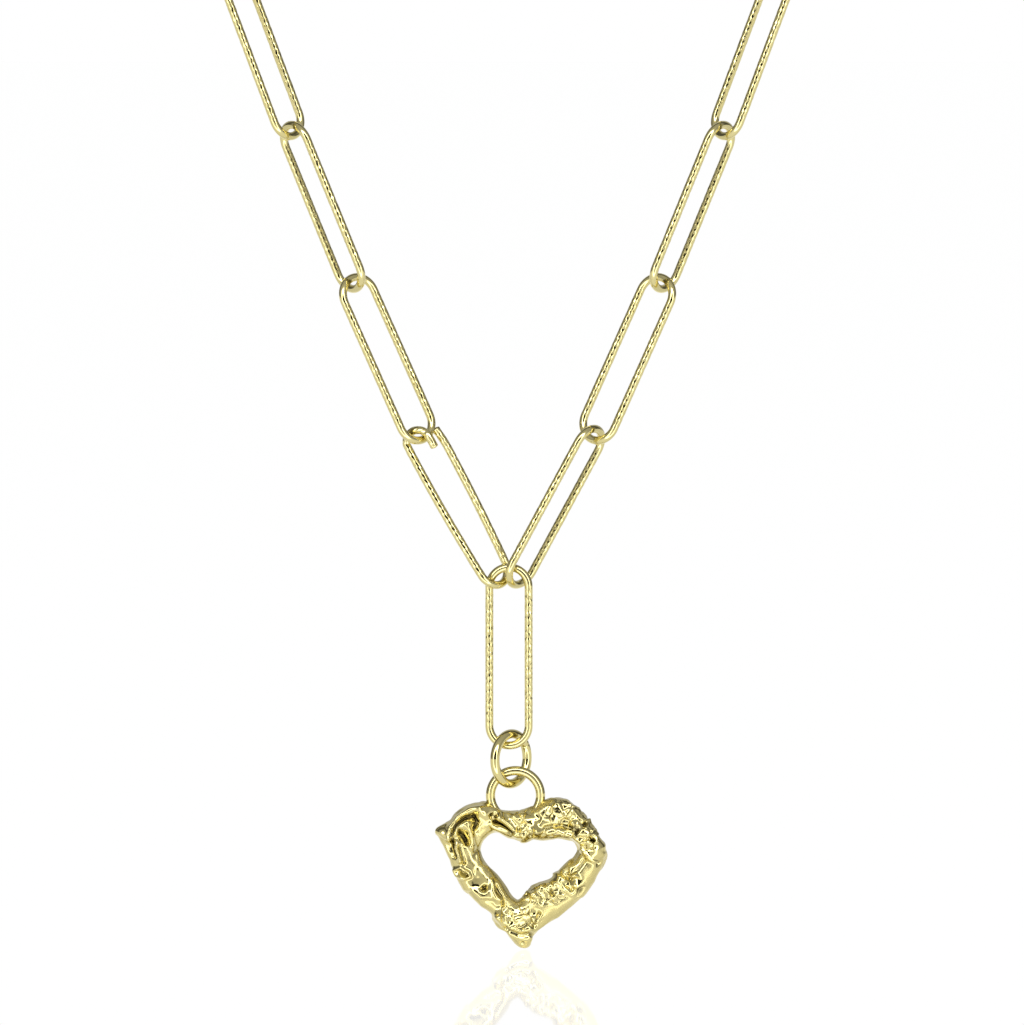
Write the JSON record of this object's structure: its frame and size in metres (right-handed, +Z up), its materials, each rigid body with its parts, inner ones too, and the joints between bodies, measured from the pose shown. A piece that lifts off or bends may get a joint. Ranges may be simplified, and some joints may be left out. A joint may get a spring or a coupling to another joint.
{
  "type": "pendant necklace",
  "caption": "Chain of long oval links with an open cast heart hung on a ring and a drop link, closed at the nape by a lobster clasp.",
  "frame": {"origin": "the point on the clasp's lower edge that a neck or a peg bears on, midway between the clasp's two rings", "axes": "+Z up along the hanging necklace, -Y out of the front of the heart, +X towards the hook end of the clasp"},
  "size_m": [0.1054, 0.0048, 0.2234],
  "materials": {
    "chain_gold": "diamond-cut twisted wire, bright",
    "polished_gold": "mirror polished",
    "cast_gold": "polished nugget casting",
    "spring_steel": "drawn spring wire"
  },
  "bodies": {
    "clasp": {"clasp_body": "polished_gold", "clasp_spring": "spring_steel", "clasp_rivet": "polished_gold"},
    "lever": {"clasp_lever": "polished_gold"},
    "end_ring": {"end_ring": "polished_gold"},
    "clasp_ring": {"clasp_ring": "polished_gold"},
    "drop_link": {"drop_link": "chain_gold"},
    "jump_ring": {"jump_ring": "polished_gold"},
    "heart": {"heart": "cast_gold", "bail": "polished_gold"},
    "right_link_01": {"right_link_01": "chain_gold"},
    "right_link_02": {"right_link_02": "chain_gold"},
    "right_link_03": {"right_link_03": "chain_gold"},
    "right_link_04": {"right_link_04": "chain_gold"},
    "right_link_05": {"right_link_05": "chain_gold"},
    "right_link_06": {"right_link_06": "chain_gold"},
    "right_link_07": {"right_link_07": "chain_gold"},
    "right_link_08": {"right_link_08": "chain_gold"},
    "right_link_09": {"right_link_09": "chain_gold"},
    "right_link_10": {"right_link_10": "chain_gold"},
    "right_link_11": {"right_link_11": "chain_gold"},
    "right_link_12": {"right_link_12": "chain_gold"},
    "right_link_13": {"right_link_13": "chain_gold"},
    "left_link_01": {"left_link_01": "chain_gold"},
    "left_link_02": {"left_link_02": "chain_gold"},
    "left_link_03": {"left_link_03": "chain_gold"},
    "left_link_04": {"left_link_04": "chain_gold"},
    "left_link_05": {"left_link_05": "chain_gold"},
    "left_link_06": {"left_link_06": "chain_gold"},
    "left_link_07": {"left_link_07": "chain_gold"},
    "left_link_08": {"left_link_08": "chain_gold"},
    "left_link_09": {"left_link_09": "chain_gold"},
    "left_link_10": {"left_link_10": "chain_gold"},
    "left_link_11": {"left_link_11": "chain_gold"},
    "left_link_12": {"left_link_12": "chain_gold"},
    "left_link_13": {"left_link_13": "chain_gold"}
  },
  "joints": [
    {"name": "end_ring_swing", "type": "hinge", "parent": "clasp", "child": "end_ring", "pos_m": [0.00481, 0, 0.0025], "axis": [1, 0, 0], "range_deg": [-10, 25]},
    {"name": "clasp_ring_swing", "type": "hinge", "parent": "clasp", "child": "clasp_ring", "pos_m": [-0.00481, 0, 0.0025], "axis": [1, 0, 0], "range_deg": [-10, 25]},
    {"name": "right_link_13_swing", "type": "hinge", "parent": "end_ring", "child": "right_link_13", "pos_m": [0.00831, 0, 0.00262], "axis": [1, 0, 0], "range_deg": [-25, 25]},
    {"name": "left_link_13_swing", "type": "hinge", "parent": "clasp_ring", "child": "left_link_13", "pos_m": [-0.00831, 0, 0.00262], "axis": [1, 0, 0], "range_deg": [-25, 25]},
    {"name": "right_link_12_swing", "type": "hinge", "parent": "right_link_13", "child": "right_link_12", "pos_m": [0.02388, 0, -0.00295], "axis": [1, 0, 0], "range_deg": [-25, 25]},
    {"name": "left_link_12_swing", "type": "hinge", "parent": "left_link_13", "child": "left_link_12", "pos_m": [-0.02388, 0, -0.00295], "axis": [1, 0, 0], "range_deg": [-25, 25]},
    {"name": "right_link_11_swing", "type": "hinge", "parent": "right_link_12", "child": "right_link_11", "pos_m": [0.03697, 0, -0.01304], "axis": [1, 0, 0], "range_deg": [-25, 25]},
    {"name": "left_link_11_swing", "type": "hinge", "parent": "left_link_12", "child": "left_link_11", "pos_m": [-0.03697, 0, -0.01304], "axis": [1, 0, 0], "range_deg": [-25, 25]},
    {"name": "right_link_10_swing", "type": "hinge", "parent": "right_link_11", "child": "right_link_10", "pos_m": [0.04632, 0, -0.02668], "axis": [1, 0, 0], "range_deg": [-25, 25]},
    {"name": "left_link_10_swing", "type": "hinge", "parent": "left_link_11", "child": "left_link_10", "pos_m": [-0.04632, 0, -0.02668], "axis": [1, 0, 0], "range_deg": [-25, 25]},
    {"name": "right_link_09_swing", "type": "hinge", "parent": "right_link_10", "child": "right_link_09", "pos_m": [0.05101, 0, -0.04253], "axis": [1, 0, 0], "range_deg": [-25, 25]},
    {"name": "left_link_09_swing", "type": "hinge", "parent": "left_link_10", "child": "left_link_09", "pos_m": [-0.05101, 0, -0.04253], "axis": [1, 0, 0], "range_deg": [-25, 25]},
    {"name": "right_link_08_swing", "type": "hinge", "parent": "right_link_09", "child": "right_link_08", "pos_m": [0.05058, 0, -0.05906], "axis": [1, 0, 0], "range_deg": [-20, 25]},
    {"name": "left_link_08_swing", "type": "hinge", "parent": "left_link_09", "child": "left_link_08", "pos_m": [-0.05058, 0, -0.05906], "axis": [1, 0, 0], "range_deg": [-20, 25]},
    {"name": "right_link_07_swing", "type": "hinge", "parent": "right_link_08", "child": "right_link_07", "pos_m": [0.04481, 0, -0.0745], "axis": [1, 0, 0], "range_deg": [-25, 25]},
    {"name": "left_link_07_swing", "type": "hinge", "parent": "left_link_08", "child": "left_link_07", "pos_m": [-0.04481, 0, -0.0745], "axis": [1, 0, 0], "range_deg": [-25, 25]},
    {"name": "right_link_06_swing", "type": "hinge", "parent": "right_link_07", "child": "right_link_06", "pos_m": [0.03904, 0, -0.08993], "axis": [1, 0, 0], "range_deg": [-25, 25]},
    {"name": "left_link_06_swing", "type": "hinge", "parent": "left_link_07", "child": "left_link_06", "pos_m": [-0.03904, 0, -0.08993], "axis": [1, 0, 0], "range_deg": [-25, 25]},
    {"name": "right_link_05_swing", "type": "hinge", "parent": "right_link_06", "child": "right_link_05", "pos_m": [0.03327, 0, -0.10537], "axis": [1, 0, 0], "range_deg": [-25, 25]},
    {"name": "left_link_05_swing", "type": "hinge", "parent": "left_link_06", "child": "left_link_05", "pos_m": [-0.03327, 0, -0.10537], "axis": [1, 0, 0], "range_deg": [-25, 25]},
    {"name": "right_link_04_swing", "type": "hinge", "parent": "right_link_05", "child": "right_link_04", "pos_m": [0.0275, 0, -0.12081], "axis": [1, 0, 0], "range_deg": [-25, 25]},
    {"name": "left_link_04_swing", "type": "hinge", "parent": "left_link_05", "child": "left_link_04", "pos_m": [-0.0275, 0, -0.12081], "axis": [1, 0, 0], "range_deg": [-25, 25]},
    {"name": "right_link_03_swing", "type": "hinge", "parent": "right_link_04", "child": "right_link_03", "pos_m": [0.02175, 0, -0.13625], "axis": [1, 0, 0], "range_deg": [-25, 20]},
    {"name": "left_link_03_swing", "type": "hinge", "parent": "left_link_04", "child": "left_link_03", "pos_m": [-0.02175, 0, -0.13625], "axis": [1, 0, 0], "range_deg": [-25, 20]},
    {"name": "right_link_02_swing", "type": "hinge", "parent": "right_link_03", "child": "right_link_02", "pos_m": [0.01556, 0, -0.15152], "axis": [1, 0, 0], "range_deg": [-25, 25]},
    {"name": "left_link_02_swing", "type": "hinge", "parent": "left_link_03", "child": "left_link_02", "pos_m": [-0.01556, 0, -0.15152], "axis": [1, 0, 0], "range_deg": [-25, 25]},
    {"name": "right_link_01_swing", "type": "hinge", "parent": "right_link_02", "child": "right_link_01", "pos_m": [0.00873, 0, -0.16697], "axis": [1, 0, 0], "range_deg": [-15, 20]},
    {"name": "left_link_01_swing", "type": "hinge", "parent": "left_link_02", "child": "left_link_01", "pos_m": [-0.00873, 0, -0.16697], "axis": [1, 0, 0], "range_deg": [-15, 20]},
    {"name": "drop_link_swing", "type": "hinge", "parent": "right_link_01", "child": "drop_link", "pos_m": [0.00015, 0, -0.18131], "axis": [1, 0, 0], "range_deg": [-12, 25]},
    {"name": "jump_ring_swing", "type": "hinge", "parent": "drop_link", "child": "jump_ring", "pos_m": [0.00035, 0, -0.19705], "axis": [0, 1, 0], "range_deg": [-25, 25]},
    {"name": "heart_swing", "type": "hinge", "parent": "jump_ring", "child": "heart", "pos_m": [0.0008, 0, -0.20073], "axis": [1, 0, 0], "range_deg": [-15, 60]},
    {"name": "lever_turn", "type": "hinge", "parent": "clasp", "child": "lever", "pos_m": [-0.00093, 0, 0.0027], "axis": [0, 1, 0], "range_deg": [0, 16], "stiffness_Nm_per_rad": 0.004, "springref_deg": -11.46, "deforming": ["clasp_spring"]}
  ],
  "couplings": [
    {"joint": "clasp_ring_swing", "follows": "end_ring_swing", "ratio": 1},
    {"joint": "left_link_13_swing", "follows": "right_link_13_swing", "ratio": 1},
    {"joint": "left_link_12_swing", "follows": "right_link_12_swing", "ratio": 1},
    {"joint": "left_link_11_swing", "follows": "right_link_11_swing", "ratio": 1},
    {"joint": "left_link_10_swing", "follows": "right_link_10_swing", "ratio": 1},
    {"joint": "left_link_09_swing", "follows": "right_link_09_swing", "ratio": 1},
    {"joint": "left_link_08_swing", "follows": "right_link_08_swing", "ratio": 1},
    {"joint": "left_link_07_swing", "follows": "right_link_07_swing", "ratio": 1},
    {"joint": "left_link_06_swing", "follows": "right_link_06_swing", "ratio": 1},
    {"joint": "left_link_05_swing", "follows": "right_link_05_swing", "ratio": 1},
    {"joint": "left_link_04_swing", "follows": "right_link_04_swing", "ratio": 1},
    {"joint": "left_link_03_swing", "follows": "right_link_03_swing", "ratio": 1},
    {"joint": "left_link_02_swing", "follows": "right_link_02_swing", "ratio": 1},
    {"joint": "left_link_01_swing", "follows": "right_link_01_swing", "ratio": 1}
  ]
}
